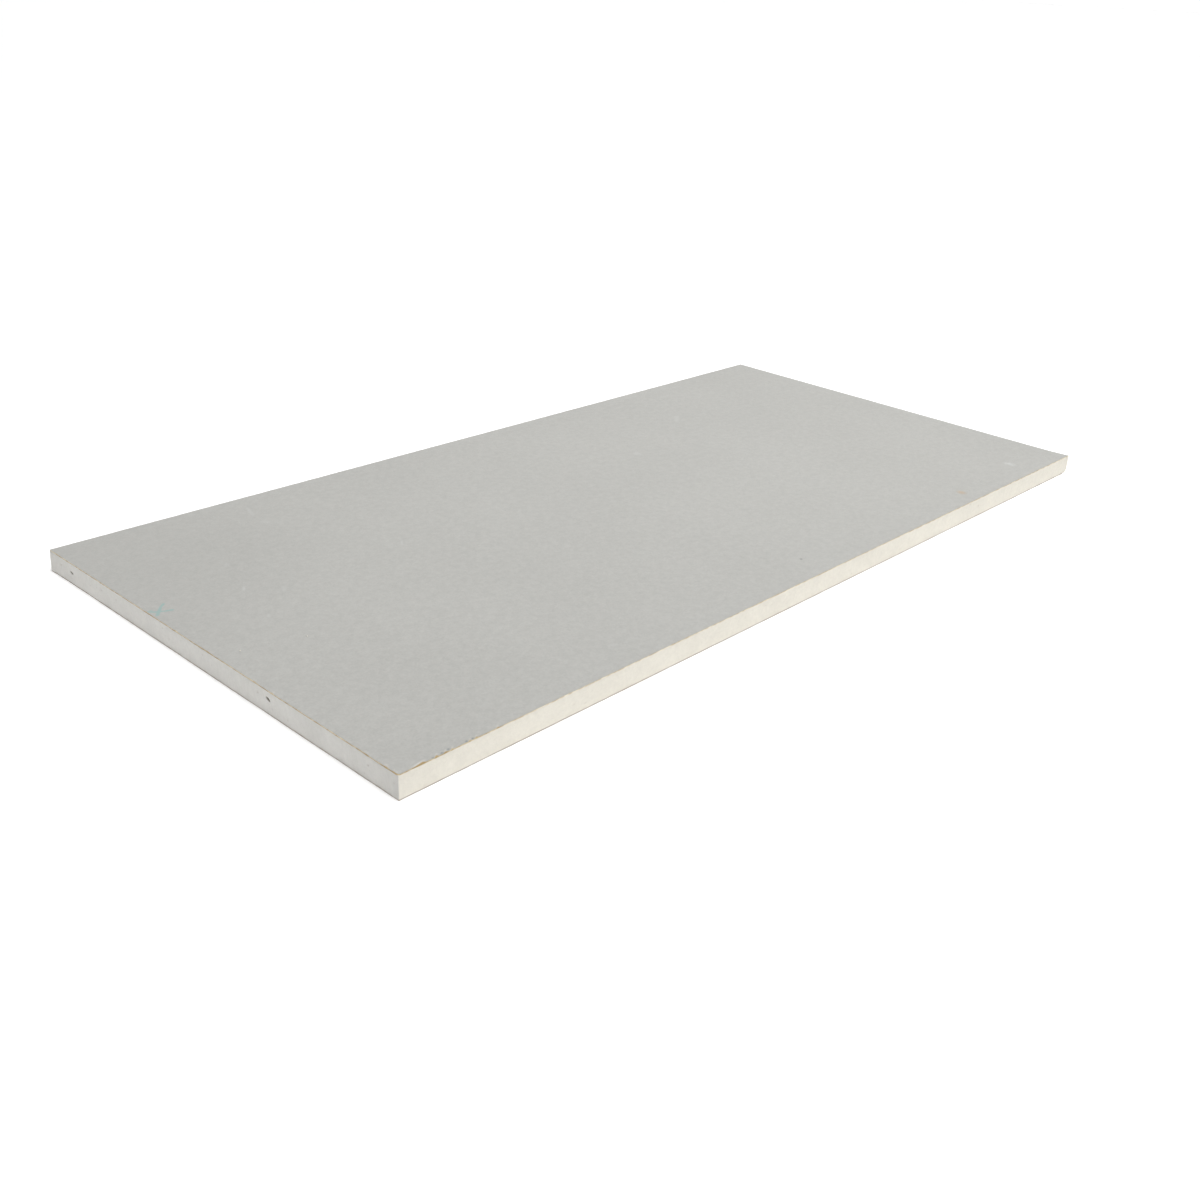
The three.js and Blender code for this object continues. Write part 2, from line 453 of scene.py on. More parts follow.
def torn_depth(outline):
    """How far the grey ply is torn back: for each tear, deep times its bump times (1 - skew d). Noise makes it
    uneven."""
    depth = np.zeros(len(outline.xy))
    uneven = 1 + 0.7 * rough_noise(outline.point(0.0), 0.9 * MM, 57, 3)
    for side, place, half, deep, skew in TEARS:
        along, there = (outline.xy[:, 0], outline.front) if side == "front" else (outline.xy[:, 1], outline.sawn)
        bump, d = bump_along(along, place, half)
        depth = np.maximum(depth, there * deep * MM * bump * (1 - skew * d) * uneven)
    return depth


def dent_depth(points):
    """Dents pressed into the face: deep times exp(-(d/half)^2), with d the level distance from each place."""
    depth = np.zeros(len(points))
    for place in DENTS:
        distance = np.linalg.norm(points[:, :2] - np.array(place) * MM, axis=1)
        depth = np.maximum(depth, DENT_DEEP * np.exp(-(distance / DENT_HALF) ** 2))
    return depth


def dust_on_plies(outline, level):
    """How much gypsum dust the cuts left on the plies, as shares added up along the four stretches."""
    x, y = outline.xy.T
    near_sawn_end = 1 - smoothstep(*DUST_THINS, x)
    uneven = 0.8 + 0.45 * near_sawn_end + 0.3 * smooth_noise(level, 8 * MM, 73)
    on_long_cuts = outline.long * smoothstep(*DUST_STARTS, x) * uneven
    on_sawn_end = 0.2 + 0.2 * smoothstep(*DUST_GROWS, y) + 0.6 * smoothstep(*DUST_AT_REAR, y)
    return np.maximum(on_long_cuts, outline.sawn * on_sawn_end)


def make_face_paper():
    """The shade "inner" is the distance in millimetres from the grey ply's edge, and is negative on the brown
    plies. The shade "torn" is 1 where the grey ply ends in pale fibres, and there the plies get painted shade. The
    shade "dusty" is how much gypsum dust the cuts left on the plies."""
    outline = Outline(FACE_CORNERS, FACE_SPACING, FACE_FINER)
    bottom, top = face_low[2], face_high[2]
    thickness = top - bottom
    level = outline.point(top)
    edge = ragged_edge(outline, 61)
    drift = 0.03 * thickness * smooth_noise(level, 14 * MM, 63)
    rows = [outline.inset(HALF_WIDTH, bottom), outline.inset(edge + GROOVE, bottom)]
    for k, (middle, groove) in enumerate(zip(PLY_MIDDLES, PLY_GROOVES)):
        frayed = edge + 0.035 * MM * rough_noise(level, 1.4 * MM, 101 + 7 * k, 2)
        rows.append(outline.inset(frayed, bottom + middle * thickness + drift))
        rows.append(outline.inset(frayed + GROOVE, bottom + groove * thickness + drift))
    seam = bottom + PLY_GROOVES[-1] * thickness + drift
    step = 0.04 * MM + 0.14 * MM * np.clip(rough_noise(level, 3.1 * MM, 67, 2), 0, 1) + torn_depth(outline)
    burr = 0.05 * MM * (smooth_noise(level, 5 * MM, 71) + 0.3)
    shelf = edge + GROOVE + step
    rows.append(outline.inset(shelf, seam + 0.01 * MM))
    brown_rows = len(rows)
    rows.append(outline.inset(shelf + 0.01 * MM, top - 0.03 * MM + burr))
    rows.append(outline.inset(shelf + 0.03 * MM, top + burr))
    for ring in PAPER_RINGS:
        row = outline.inset(shelf + ring * MM, top)
        row[:, 2] += burr * max(math.exp(-ring / 0.7) * (1 - ring / FLAT_FROM), 0)
        rows.append(row)
    rows.append(outline.inset(HALF_WIDTH, top))
    for row in rows[brown_rows:]:
        row[:, 2] -= dent_depth(row)
    for row in rows:
        draw_back(row, -FACE_HELD_OUT * near_front_corner(row[:, 1]), BREAK_SQUEEZE)
    inner = np.array([-1.0] * brown_rows + [-0.1, 0.0, *PAPER_RINGS, 60])
    torn = outline.front * bump_along(outline.xy[:, 0], *PALE_MARGIN)[0]
    torn = np.maximum(torn, np.minimum(torn_depth(outline) / MM, 0.45))
    columns = np.ones((len(rows), len(outline.xy)))
    shades = {
        "inner": inner[:, None] * columns,
        "torn": columns * torn,
        "dusty": columns * dust_on_plies(outline, level),
    }
    return closed_surface("grey_face_paper", [rows], shades, 40)


BACK_SPACING = {"front": 0.8 * MM, "snapped": 0.45 * MM, "rear": 0.8 * MM, "sawn": 0.7 * MM}

# The plies of the back paper and the grooves over them, as shares of its thickness.
BACK_MIDDLES = (0.18, 0.50, 0.80)
BACK_GROOVES = (0.34, 0.66, 1.0)


def make_back_paper():
    """The section runs out under the board, climbs three plies with a groove over each, and runs back under the
    core. The far end is drawn back to the tear, each ply to a line of its own. The shade "cut" is 1 on the plies."""
    outline = Outline(LOWER_CORNERS, BACK_SPACING)
    bottom, top = back_low[2], back_high[2]
    thickness = top - bottom
    level = outline.point(bottom)
    edge = ragged_edge(outline, 83)
    tear = TEAR_SETBACK + waves_at(TEAR_WAVES, outline.xy[:, 1])
    rows = [
        outline.inset(HALF_WIDTH, bottom),
        outline.inset(12 * MM, bottom),
        outline.inset(edge + 2 * MM, bottom),
        outline.inset(edge + GROOVE, bottom),
    ]
    for k, (middle, groove) in enumerate(zip(BACK_MIDDLES, BACK_GROOVES)):
        frayed = 0.05 * MM * rough_noise(level, 1.3 * MM, 131 + 7 * k, 2)
        torn = outline.snapped * MM * (0.25 * k + 0.3 * rough_noise(level, 2.2 * MM, 151 + 7 * k, 3))
        rows.append(outline.inset(edge + frayed + torn, bottom + middle * thickness))
        rows.append(outline.inset(edge + frayed + torn + GROOVE, bottom + groove * thickness))
    rows.append(outline.inset(edge + 3 * MM, top))
    rows.append(outline.inset(HALF_WIDTH, top))
    cut = np.ones((len(rows), len(outline.xy)))
    cut[:3] = 0
    for row in rows:
        draw_back(row, tear, TEAR_SQUEEZE)
        splay(row, outline, 1)
    return closed_surface("brown_back_paper", [rows], {"cut": cut}, 40)


# ---------------------------------------------------------------- crumbs on the face

# Place on the face and size of each crumb, in millimetres.
CRUMBS = ((-261.0, -25.6, 0.28), (-293.0, -17.2, 0.38))
CRUMB_ROWS = 9
CRUMB_COLUMNS = 14


def make_crumbs():
    """Each crumb is a ball whose radius noise makes uneven. What would be inside the paper is pressed flat."""
    polar = np.linspace(np.pi, 0, CRUMB_ROWS)[:, None]
    round_it = np.linspace(0, 2 * np.pi, CRUMB_COLUMNS, endpoint=False)[None]
    ball = np.stack([
        np.sin(polar) * np.cos(round_it),
        np.sin(polar) * np.sin(round_it),
        np.cos(polar) * np.ones_like(round_it),
    ], axis=-1)
    top = face_high[2]
    shells = []
    for k, (x, y, size) in enumerate(CRUMBS):
        lumpy = 1 + 0.35 * smooth_noise(ball + 10 * k, 0.9, 211) + 0.15 * smooth_noise(ball + 10 * k, 0.4, 212)
        lumps = ball * lumpy[..., None] * size * MM
        lumps[..., 2] = np.maximum(lumps[..., 2] * 0.8, -0.3 * size * MM)
        shells.append(lumps + [x * MM, y * MM, top + 0.3 * size * MM])
    return closed_surface("gypsum_crumbs", shells, None, 60)


# ---------------------------------------------------------------- finishes

def linear(red, green, blue):
    """A colour given as it shows on screen, 0 to 255, as the linear light that shaders use."""
    share = np.array([red, green, blue]) / 255
    light = np.where(share <= 0.04045, share / 12.92, ((share + 0.055) / 1.055) ** 2.4)
    return (*light.tolist(), 1.0)


PAPER_GREY = linear(182.5, 182, 178)
PLY_PALE = linear(238, 226, 193)
PLY_BROWN = linear(184, 160, 114)
PLY_DUSTED = linear(246, 238, 217)
TORN_PALE = linear(216, 214, 208)
TICK_BLUE = linear(153, 179, 176)
SCUFF_PALE = linear(206, 207, 205)
DENT_SHADOW_GREY = linear(112, 121, 125)
CORNER_SHADE_GREY = linear(142, 141, 137)
TAN_SPOT = linear(190, 160, 120)
DARK_SPOT = linear(96, 96, 96)
GYPSUM_LIT_CREAM = linear(243, 238.5, 227)
GYPSUM_IN_SHADE = linear(232.3, 230.6, 225.6)
CORNER_DARKENING_GREY = linear(186, 182, 178)
PORE_SHADOW = linear(196, 190, 176)
HOLLOW_SHADOW_BROWN = linear(120, 88, 44)
KRAFT_BROWN = linear(184, 164, 134)
KRAFT_CUT = linear(186, 174, 160)
FLECK_DARK = linear(110, 88, 62)

# Two strokes of a layout tick near the sawn end, each as places and half widths, in millimetres.
TICK_STROKES = (
    ((-293.7, 51.9, 1.1), (-296.7, 49.4, 0.9), (-299.4, 46.0, 1.3), (-302.4, 42.3, 1.3)),
    ((-302.9, 48.3, 1.7), (-302.0, 46.6, 1.1), (-299.2, 45.2, 1.2), (-297.6, 44.1, 0.9), (-293.9, 43.0, 1.3)),
)

# Faint pale smudges: place, half sizes in millimetres, how far the long one is turned from X, and strength.
SMUDGES = (
    (-254.2, 41.0, 4.0, 1.1, 58, 0.33),
    (-239.0, 27.3, 4.0, 1.6, 58, 0.21),
    (-262.3, 5.6, 2.6, 1.6, 62, 0.25),
    (-193.4, 130.5, 10.3, 1.6, 74, 0.21),
    (-244.5, 73.0, 3.5, 2.1, 64, 0.21),
    (-195.2, 111.1, 4.6, 3.1, -72, 0.19),
    (-155.1, 35.2, 5.1, 1.2, 52, 0.25),
    (-155.8, -132.8, 3.6, 2.1, -40, 0.17),
    (63.3, 52.1, 4.9, 3.6, 74, 0.21),
    (144.8, 86.6, 10.3, 3.2, 40, 0.21),
    (78.7, -135.6, 5.1, 3.8, -11, 0.15),
)

# A pale scuff and a tan spot, each as place, half sizes in millimetres and turn, and a dark speck and the painted
# shade at a corner, each as place and radius in millimetres. The dents get painted shadow over a radius of their own.
PALE_SCUFF = (254.2, -132.2, 4.2, 6.0, -8)
TAN_MARK = (175.2, -138.8, 3.8, 4.4, -8)
DARK_SPECK = (2.5, -132.4, 0.9)
SHADED_CORNER = (-330, 165, 150)
DENT_SHADOW_RADIUS = 0.62

# The colour sockets of a Mix node: its two inputs and its output.
MIX_FIRST, MIX_SECOND, MIX_RESULT = 6, 7, 2


class Finish:
    """A procedural material under construction: each call adds a node and gives back its output."""

    def __init__(self, name, roughness):
        self.material = bpy.data.materials.new(name)
        self.material.use_nodes = True
        self.tree = self.material.node_tree
        self.tree.nodes.clear()
        output = self.tree.nodes.new("ShaderNodeOutputMaterial")
        self.shader = self.tree.nodes.new("ShaderNodeBsdfPrincipled")
        self.shader.inputs["Roughness"].default_value = roughness
        self.tree.links.new(self.shader.outputs["BSDF"], output.inputs["Surface"])
        self.place = self.tree.nodes.new("ShaderNodeTexCoord").outputs["Object"]

    def feed(self, node, name, value):
        socket = node.inputs[name]
        if isinstance(value, bpy.types.NodeSocket):
            self.tree.links.new(value, socket)
        elif socket.type == "VECTOR":
            socket.default_value = value[:3]
        else:
            socket.default_value = value

    def attribute(self, name):
        node = self.tree.nodes.new("ShaderNodeAttribute")
        node.attribute_name = name
        return node.outputs["Fac"]

    def drawn_out(self, lengths, heading=0.0, tip=0.0):
        """Places measured in features that are this long along each axis, in metres. The axes are turned by a
        heading about Z and tipped about X, in degrees."""
        node = self.tree.nodes.new("ShaderNodeMapping")
        node.vector_type = "TEXTURE"
        self.feed(node, "Vector", self.place)
        node.inputs["Scale"].default_value = lengths
        node.inputs["Rotation"].default_value = (math.radians(tip), 0, math.radians(heading))
        return node.outputs["Vector"]

    def noise(self, size, detail=2.0, roughness=0.5, place=None, warp=0.0):
        """Cloudy noise whose features are about the given size, in metres."""
        node = self.tree.nodes.new("ShaderNodeTexNoise")
        self.feed(node, "Vector", place or self.place)
        node.inputs["Scale"].default_value = 1 / size
        node.inputs["Detail"].default_value = detail
        node.inputs["Roughness"].default_value = roughness
        node.inputs["Distortion"].default_value = warp
        return node.outputs["Fac"]

    def spots(self, size, place=None):
        """Distance to the nearest of scattered points that lie about the given size apart."""
        node = self.tree.nodes.new("ShaderNodeTexVoronoi")
        self.feed(node, "Vector", place or self.place)
        node.inputs["Scale"].default_value = 1 / size
        return node.outputs["Distance"]

    def fibres(self, length, width, headings):
        """Thin strands in several headings: the strongest of as many drawn-out noises."""
        strands = [
            self.noise(1, 2, 0.6, self.drawn_out((length, width, width), heading), 0.4)
            for heading in headings
        ]
        best = strands[0]
        for strand in strands[1:]:
            best = self.math("MAXIMUM", best, strand)
        return best

    def math(self, operation, a, b=0.0, c=0.0):
        node = self.tree.nodes.new("ShaderNodeMath")
        node.operation = operation
        for k, value in enumerate((a, b, c)):
            self.feed(node, k, value)
        return node.outputs["Value"]

    def product(self, *values):
        result = values[0]
        for value in values[1:]:
            result = self.math("MULTIPLY", result, value)
        return result

    def vector_math(self, operation, a, b=(0, 0, 0)):
        node = self.tree.nodes.new("ShaderNodeVectorMath")
        node.operation = operation
        self.feed(node, 0, a)
        self.feed(node, 1, b)
        return node.outputs["Value" if operation in ("LENGTH", "DISTANCE", "DOT_PRODUCT") else "Vector"]

    def span(self, value, low, high, to_low=0.0, to_high=1.0):
        """A value carried smoothly from one range to another."""
        node = self.tree.nodes.new("ShaderNodeMapRange")
        node.interpolation_type = "SMOOTHSTEP"
        self.feed(node, "Value", value)
        self.feed(node, "From Min", low)
        self.feed(node, "From Max", high)
        self.feed(node, "To Min", to_low)
        self.feed(node, "To Max", to_high)
        return node.outputs["Result"]

    def mix(self, share, first, second):
        node = self.tree.nodes.new("ShaderNodeMix")
        node.data_type = "RGBA"
        self.feed(node, "Factor", share)
        self.feed(node, MIX_FIRST, first)
        self.feed(node, MIX_SECOND, second)
        return node.outputs[MIX_RESULT]

    def tint(self, color, amount):
        """A colour made lighter or darker by a factor near 1."""
        node = self.tree.nodes.new("ShaderNodeVectorMath")
        node.operation = "SCALE"
        self.feed(node, 0, color)
        self.feed(node, "Scale", amount)
        return node.outputs["Vector"]

    def finish(self, color, bumps=(), roughness=None):
        """Plugs in the colour, the roughness and a chain of bumps, each (height, depth in metres)."""
        self.feed(self.shader, "Base Color", color)
        if roughness is not None:
            self.feed(self.shader, "Roughness", roughness)
        normal = None
        for height, depth in bumps:
            node = self.tree.nodes.new("ShaderNodeBump")
            node.inputs["Distance"].default_value = depth
            self.feed(node, "Height", height)
            if normal is not None:
                self.tree.links.new(normal, node.inputs["Normal"])
            normal = node.outputs["Normal"]
        if normal is not None:
            self.tree.links.new(normal, self.shader.inputs["Normal"])
        return self.material


def near_stroke(look, start, end):
    """1 on a tapered line, 0 past its half width. Both ends are (x, y, half width) in millimetres. The distance to
    the nearest point of the line is divided by the half width there."""
    a, b = (Vector((x, y, 0)) * MM for x, y, _ in (start, end))
    run = b - a
    flat = look.vector_math("MULTIPLY", look.place, (1, 1, 0))
    from_a = look.vector_math("SUBTRACT", flat, tuple(a))
    share = look.math("DIVIDE", look.vector_math("DOT_PRODUCT", from_a, tuple(run)), run.length_squared)
    share = look.math("MINIMUM", look.math("MAXIMUM", share, 0.0), 1.0)
    distance = look.vector_math("DISTANCE", from_a, look.tint(tuple(run), share))
    half_width = look.math("MULTIPLY_ADD", share, (end[2] - start[2]) * MM, start[2] * MM)
    return look.span(look.math("DIVIDE", distance, half_width), 0.4, 1.0, 1.0, 0.0)


def near_smudge(look, x, y, half_long, half_wide, turn):
    """1 at the middle of a smudge, fading to 0: the distance in half sizes, with its long side turned by degrees
    from X."""
    c, s = math.cos(math.radians(turn)), math.sin(math.radians(turn))
    from_middle = look.vector_math("SUBTRACT", look.place, (x * MM, y * MM, 0))
    along = look.vector_math("DOT_PRODUCT", from_middle, (c / (half_long * MM), s / (half_long * MM), 0))
    across = look.vector_math("DOT_PRODUCT", from_middle, (-s / (half_wide * MM), c / (half_wide * MM), 0))
    square = look.math("ADD", look.math("MULTIPLY", along, along), look.math("MULTIPLY", across, across))
    return look.span(look.math("SQRT", square), 0.15, 1.1, 1.0, 0.0)


def near_spot(look, x, y, radius, wobble):
    """1 inside a blot round a place, 0 outside, with an edge that noise makes uneven."""
    flat = look.vector_math("MULTIPLY", look.place, (1, 1, 0))
    distance = look.vector_math("DISTANCE", flat, (x * MM, y * MM, 0))
    distance = look.math("ADD", distance, look.math("MULTIPLY", wobble, radius * MM))
    return look.span(distance, 0.4 * radius * MM, 1.4 * radius * MM, 1.0, 0.0)


def face_paper_finish():
    look = Finish("grey_face_paper_fibres", 0.86)
    clouds = look.noise(90 * MM, 3)
    mottle = look.noise(4.0 * MM, 5, 0.65, warp=0.3)
    grain = look.noise(1.0 * MM, 3, 0.7)
    fibres = look.fibres(1.8 * MM, 0.13 * MM, (12, 58, 104, 151))
    tone = look.product(
        look.span(clouds, 0.25, 0.75, 0.985, 1.015),
        look.span(mottle, 0.25, 0.75, 0.950, 1.050),
        look.span(grain, 0.2, 0.8, 0.950, 1.050),
        look.span(fibres, 0.45, 0.85, 0.975, 1.035),
    )
    grey = look.tint(PAPER_GREY, tone)
    wobble = look.math("SUBTRACT", look.noise(1.2 * MM, 2), 0.5)
    patchy = look.span(look.noise(2.2 * MM, 3), 0.25, 0.60)
    # Painted shade: the grey face is painted darker towards the rear corner of the sawn end, unevenly with the mottle.
    corner_shade = look.product(near_spot(look, *SHADED_CORNER, wobble), look.span(mottle, 0.2, 0.8, 0.6, 1.0))
    grey = look.mix(look.product(corner_shade, 0.10), grey, CORNER_SHADE_GREY)
    for *place, strength in SMUDGES:
        grey = look.mix(look.product(near_smudge(look, *place), strength), grey, SCUFF_PALE)
    scuff = near_smudge(look, *PALE_SCUFF)
    grey = look.mix(look.product(scuff, patchy, 0.62), grey, SCUFF_PALE)
    tan = near_smudge(look, *TAN_MARK)
    grey = look.mix(look.product(tan, 0.46), grey, TAN_SPOT)
    grey = look.mix(look.product(near_spot(look, *DARK_SPECK, wobble), 0.6), grey, DARK_SPOT)
    crumpled = look.math("MULTIPLY", look.math("SUBTRACT", look.noise(0.45 * MM, 3, 0.7), 0.5), 4.0)
    # Painted shadow: the grey is darkened unevenly round each dent.
    for x, y in DENTS:
        grey = look.mix(look.product(near_spot(look, x, y, DENT_SHADOW_RADIUS, crumpled), 0.62), grey, DENT_SHADOW_GREY)
    tick = 0.0
    for stroke in TICK_STROKES:
        for start, end in zip(stroke, stroke[1:]):
            tick = look.math("MAXIMUM", tick, near_stroke(look, start, end))
    chalk = look.span(look.noise(0.8 * MM, 2), 0.3, 0.6, 0.60, 0.95)
    grey = look.mix(look.product(tick, chalk), grey, TICK_BLUE)

    inner, torn = look.attribute("inner"), look.attribute("torn")
    frayed = look.math("SUBTRACT", look.noise(0.6 * MM, 4, 0.7), 0.5)
    margin = look.math("MULTIPLY_ADD", frayed, 1.6, inner)
    pale = look.product(look.span(margin, 0.9, 1.7, 1.0, 0.0), torn)
    grey = look.mix(look.product(pale, look.span(fibres, 0.45, 0.85, 0.65, 1.0)), grey, TORN_PALE)
    plies = look.noise(1, 3, 0.6, look.drawn_out((3 * MM, 3 * MM, 0.09 * MM)))
    patches = look.noise(3.4 * MM, 4, 0.6)
    browned_and_shaded = look.math("ADD", look.span(patches, 0.38, 0.62, 0.0, 0.80), look.span(plies, 0.35, 0.65, 0.0, 0.35))
    # Painted shade: the plies are painted browner where the grey ply is torn back. The patches and layers above are the
    # plies' own colour.
    browned_and_shaded = look.math("MULTIPLY_ADD", torn, 0.9, browned_and_shaded)
    fuzz = look.noise(0.28 * MM, 4, 0.75)
    ply = look.tint(look.mix(look.math("MINIMUM", browned_and_shaded, 1.0), PLY_PALE, PLY_BROWN),
                    look.span(fuzz, 0.3, 0.7, 0.90, 1.08))
    dusted = look.product(look.attribute("dusty"), look.span(patches, 0.40, 0.60, 0.75, 0.30))
    ply = look.mix(dusted, ply, PLY_DUSTED)
    bare = look.span(look.math("MULTIPLY_ADD", frayed, 0.55, inner), -0.02, 0.03, 1.0, 0.0)
    color = look.mix(bare, grey, ply)
    rough = look.span(mottle, 0.2, 0.8, 0.80, 0.92)
    fuzzy = look.product(fuzz, look.span(inner, 0.0, 1.0, 1.0, 0.25))
    bumps = [(mottle, 0.06 * MM), (grain, 0.05 * MM), (fibres, 0.07 * MM), (fuzzy, 0.10 * MM), (bare, -0.05 * MM)]
    return look.finish(color, bumps, rough)


def gypsum_finish():
    look = Finish("chalky_gypsum", 0.95)
    clouds = look.noise(14 * MM, 3)
    grain = look.noise(0.45 * MM, 5, 0.78)
    crystals = look.noise(2.2 * MM, 4, 0.6)
    sparse = look.span(look.noise(6 * MM, 2), 0.40, 0.62)
    pit = look.span(look.math("MULTIPLY_ADD", sparse, 0.14, look.spots(1.1 * MM)), 0.10, 0.24, 1.0, 0.0)
    tiny = look.span(look.spots(0.42 * MM), 0.12, 0.26, 1.0, 0.0)
    sawn = look.attribute("sawn")
    broken = look.attribute("broken")
    strokes = look.noise(1, 3, 0.65, look.drawn_out((9 * MM, 0.7 * MM, 8 * MM), 0, -12))
    faint = look.span(look.noise(22 * MM, 1), 0.38, 0.62, 0.25, 1.0)
    stroke_share = look.product(sawn, faint)
    stroke_tone = look.math("MULTIPLY_ADD", stroke_share, look.span(strokes, 0.3, 0.7, -0.035, 0.012), 1.0)
    # Painted light: the gypsum is painted lighter towards the sawn end and darker towards the snapped end.
    lengthwise = look.vector_math("DOT_PRODUCT", look.place, (1, 0, 0))
    tone = look.product(
        look.span(lengthwise, NEAR_END, FAR_END, 1.018, 0.982),
        look.span(clouds, 0.25, 0.75, 0.975, 1.02),
        look.span(crystals, 0.25, 0.75, 0.970, 1.025),
        look.span(grain, 0.25, 0.75, 0.945, 1.035),
        stroke_tone,
    )
    # The sawn end is painted darker towards its corners.
    corner_darkening = look.math("MULTIPLY", look.attribute("corner_darkening"), 0.28)
    # The other cut faces get a lighter, warmer copy of the gypsum colour than the sawn end: painted warm light on them,
    # and painted shade on the sawn end.
    color = look.mix(corner_darkening, look.mix(sawn, GYPSUM_LIT_CREAM, GYPSUM_IN_SHADE), CORNER_DARKENING_GREY)
    color = look.tint(color, tone)
    # Painted shadow in the pits of the grain.
    pore_shadow_share = look.math("MAXIMUM", look.math("MULTIPLY", pit, 0.15), look.math("MULTIPLY", tiny, 0.10))
    color = look.mix(pore_shadow_share, color, PORE_SHADOW)
    hollow_shadow = look.math("MINIMUM", look.attribute("hollow_shadow"), 1.0)
    # Painted shadow in the voids and pits.
    color = look.mix(look.math("MULTIPLY", hollow_shadow, 0.9), color, HOLLOW_SHADOW_BROWN)
    crumbling = look.product(broken, look.noise(1.6 * MM, 5, 0.75))
    bumps = [
        (look.product(stroke_share, strokes), 0.12 * MM),
        (grain, 0.20 * MM),
        (crystals, 0.10 * MM),
        (look.math("SUBTRACT", 1.0, pit), 0.12 * MM),
        (look.math("SUBTRACT", 1.0, tiny), 0.05 * MM),
        (crumbling, 0.9 * MM),
    ]
    return look.finish(color, bumps)


def back_paper_finish():
    look = Finish("brown_kraft_fibres", 0.9)
    clouds = look.noise(60 * MM, 3)
    mottle = look.noise(6 * MM, 4, 0.6)
    long_fibres = look.fibres(5 * MM, 0.25 * MM, (2, 14, -11))
    cross_fibres = look.fibres(2.5 * MM, 0.2 * MM, (48, 85, 130))
    tone = look.product(
        look.span(clouds, 0.25, 0.75, 0.97, 1.03),
        look.span(mottle, 0.25, 0.75, 0.92, 1.08),
        look.span(long_fibres, 0.45, 0.85, 0.88, 1.20),
        look.span(cross_fibres, 0.45, 0.85, 0.92, 1.15),
    )
    color = look.tint(look.mix(look.attribute("cut"), KRAFT_BROWN, KRAFT_CUT), tone)
    fleck = look.span(look.spots(1, look.drawn_out((8 * MM, 3.5 * MM, 3.5 * MM), 30)), 0.04, 0.10, 1.0, 0.0)
    color = look.mix(look.math("MULTIPLY", fleck, 0.5), color, FLECK_DARK)
    return look.finish(color, [(mottle, 0.08 * MM), (cross_fibres, 0.06 * MM), (long_fibres, 0.08 * MM)])


# ---------------------------------------------------------------- camera, floor and light

CAMERA_PLACE = (-586.8 * MM, -523.7 * MM, 318.0 * MM)
CAMERA_HEADING = 40.98
CAMERA_PITCH = -23.87
CAMERA_ROLL = 3.23
LENS_MM = 39.62
SENSOR_MM = 36.0
IMAGE_SIZE = 1200
AXIS_OFFSET_PX = (43.65, -41.74)


def make_camera():
    """A camera at its place, looking along heading and pitch, turned about its axis by the roll."""
    data = bpy.data.cameras.new("camera")
    data.lens = LENS_MM
    data.sensor_width = SENSOR_MM
    data.shift_x = -AXIS_OFFSET_PX[0] / IMAGE_SIZE
    data.shift_y = AXIS_OFFSET_PX[1] / IMAGE_SIZE
    data.clip_start = 0.01
    data.clip_end = 500
    heading, pitch, roll = (math.radians(a) for a in (CAMERA_HEADING, CAMERA_PITCH, CAMERA_ROLL))
    ahead = Vector((math.cos(pitch) * math.cos(heading), math.cos(pitch) * math.sin(heading), math.sin(pitch)))
    level = ahead.cross(Vector((0, 0, 1))).normalized()
    upright = level.cross(ahead)
    right = level * math.cos(roll) + upright * math.sin(roll)
    up = upright * math.cos(roll) - level * math.sin(roll)
    camera = bpy.data.objects.new("camera", data)
    camera.matrix_world = Matrix((
        (right.x, up.x, -ahead.x, CAMERA_PLACE[0]),
        (right.y, up.y, -ahead.y, CAMERA_PLACE[1]),
        (right.z, up.z, -ahead.z, CAMERA_PLACE[2]),
        (0, 0, 0, 1),
    ))
    bpy.context.scene.collection.objects.link(camera)
    bpy.context.scene.camera = camera


WHITE = (1, 1, 1, 1)
BLACK = (0, 0, 0, 1)
FLOOR_WHITE = linear(250, 250, 250)
STAGE_RADIUS = 60.0
BACKDROP_SIDES = 96
BACKDROP_FOOT = -0.5
BACKDROP_HEIGHT = 40.0
BACKDROP_GLOW = 1.02
FLOOR_GLOW = 0.222
# The sheet sinks in by a hair, so that its underside and the floor don't share one plane.
FLOOR_LEVEL = 0.02 * MM


def make_floor():
    half = 1.5 * STAGE_RADIUS
    mesh = bpy.data.meshes.new("floor")
    corners = [(-half, -half), (half, -half), (half, half), (-half, half)]
    mesh.from_pydata([(x, y, FLOOR_LEVEL) for x, y in corners], [], [(0, 1, 2, 3)])
    floor = bpy.data.objects.new("floor", mesh)
    bpy.context.scene.collection.objects.link(floor)
    look = Finish("pale_floor", 0.9)
    tone = look.span(look.noise(0.35, 2), 0.2, 0.8, 0.995, 1.0)
    look.shader.inputs["Specular IOR Level"].default_value = 0
    look.shader.inputs["Emission Color"].default_value = WHITE
    look.shader.inputs["Emission Strength"].default_value = FLOOR_GLOW
    mesh.materials.append(look.finish(look.tint(FLOOR_WHITE, tone)))


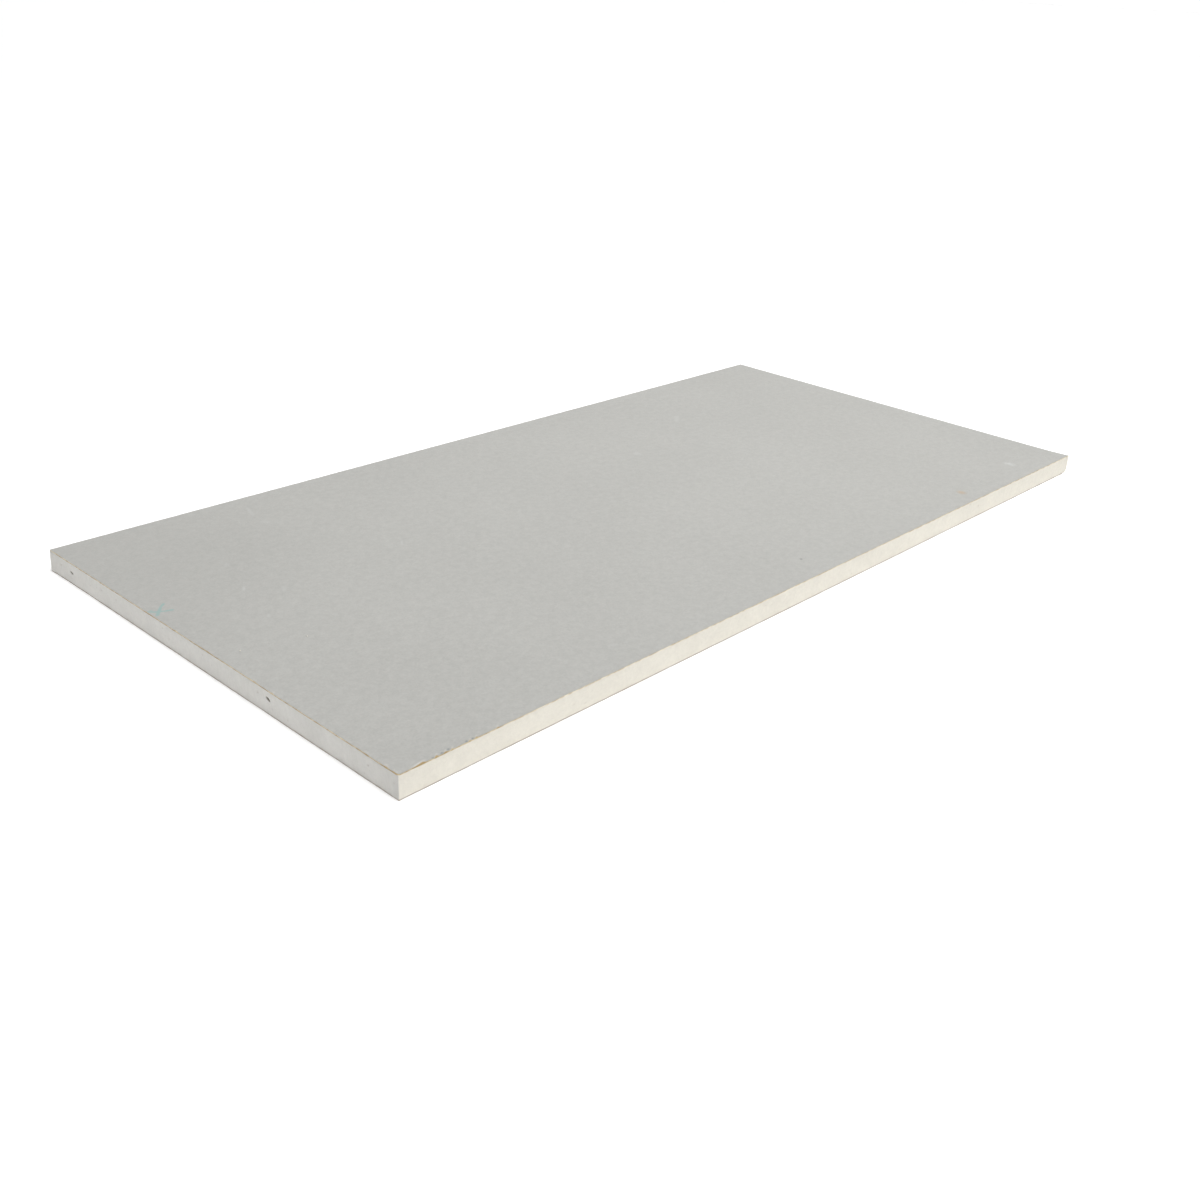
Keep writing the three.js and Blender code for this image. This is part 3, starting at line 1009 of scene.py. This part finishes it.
def make_backdrop():
    """A round white wall far behind everything. It glows evenly, and lights nothing itself."""
    turn = np.linspace(0, 2 * np.pi, BACKDROP_SIDES, endpoint=False)
    ring = STAGE_RADIUS * np.stack([np.cos(turn), np.sin(turn)], axis=1)
    levels = (BACKDROP_FOOT, BACKDROP_HEIGHT)
    rows = np.concatenate([np.column_stack([ring, np.full(BACKDROP_SIDES, z)]) for z in levels])
    first = np.arange(BACKDROP_SIDES)
    ahead = np.roll(first, -1)
    quads = np.stack([first, ahead, ahead + BACKDROP_SIDES, first + BACKDROP_SIDES], axis=1)
    mesh = bpy.data.meshes.new("backdrop")
    mesh.from_pydata(rows, [], quads.tolist())
    backdrop = bpy.data.objects.new("backdrop", mesh)
    bpy.context.scene.collection.objects.link(backdrop)
    backdrop.visible_diffuse = False
    backdrop.visible_glossy = False
    backdrop.visible_transmission = False
    backdrop.visible_shadow = False
    look = Finish("white_backdrop", 1.0)
    look.shader.inputs["Base Color"].default_value = BLACK
    look.shader.inputs["Specular IOR Level"].default_value = 0
    look.shader.inputs["Emission Color"].default_value = WHITE
    look.shader.inputs["Emission Strength"].default_value = BACKDROP_GLOW
    mesh.materials.append(look.material)


def make_sun(name, heading, height, strength, softness):
    """A soft far light that shines from a heading and a height above the floor, in degrees."""
    data = bpy.data.lights.new(name, "SUN")
    data.energy = strength
    data.angle = math.radians(softness)
    sun = bpy.data.objects.new(name, data)
    heading, height = math.radians(heading), math.radians(height)
    towards = Vector((math.cos(height) * math.cos(heading), math.cos(height) * math.sin(heading), math.sin(height)))
    sun.rotation_mode = "QUATERNION"
    sun.rotation_quaternion = towards.to_track_quat("Z", "Y")
    bpy.context.scene.collection.objects.link(sun)


def make_softbox(name, place, target, size, watts):
    """A square soft light that faces a target."""
    data = bpy.data.lights.new(name, "AREA")
    data.energy = watts
    data.size = size
    softbox = bpy.data.objects.new(name, data)
    softbox.location = place
    softbox.rotation_mode = "QUATERNION"
    softbox.rotation_quaternion = (Vector(place) - Vector(target)).to_track_quat("Z", "Y")
    bpy.context.scene.collection.objects.link(softbox)


def make_sky(strength):
    """Even white light from all round."""
    world = bpy.data.worlds.new("studio_sky")
    world.use_nodes = True
    world.node_tree.nodes.clear()
    output = world.node_tree.nodes.new("ShaderNodeOutputWorld")
    light = world.node_tree.nodes.new("ShaderNodeBackground")
    light.inputs["Color"].default_value = WHITE
    light.inputs["Strength"].default_value = strength
    world.node_tree.links.new(light.outputs["Background"], output.inputs["Surface"])
    bpy.context.scene.world = world


# ---------------------------------------------------------------- the scene

SKY_STRENGTH = 0.20

# Heading and height in degrees, strength, and softness in degrees. The one under the floor shows the underside in
# views from below, and the floor keeps it off everything else.
SUNS = {
    "key_light": (-90, 70, 1.31, 30),
    "top_light": (-90, 88, 0.73, 40),
    "under_light": (-90, -70, 1.6, 40),
}

make_camera()
make_floor()
make_backdrop()
make_sky(SKY_STRENGTH)
for sun_name, sun_values in SUNS.items():
    make_sun(sun_name, *sun_values)
make_softbox("right_softbox", place=(0.30, -0.10, 1.0), target=(0.15, 0.0, 0.0), size=0.8, watts=4.33)

core = make_core()
face_paper = make_face_paper()
back_paper = make_back_paper()
crumbs = make_crumbs()
gypsum = gypsum_finish()
core.data.materials.append(gypsum)
crumbs.data.materials.append(gypsum)
face_paper.data.materials.append(face_paper_finish())
back_paper.data.materials.append(back_paper_finish())

for piece, node, slot in (
    (core, "gypsum_core", "gypsum"),
    (face_paper, "face_paper", "face_paper"),
    (back_paper, "back_paper", "back_paper"),
):
    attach(piece, "root")
    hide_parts(node)
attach(crumbs, "root")

scene = bpy.context.scene
scene.view_settings.view_transform = "Standard"
scene.view_settings.look = "None"
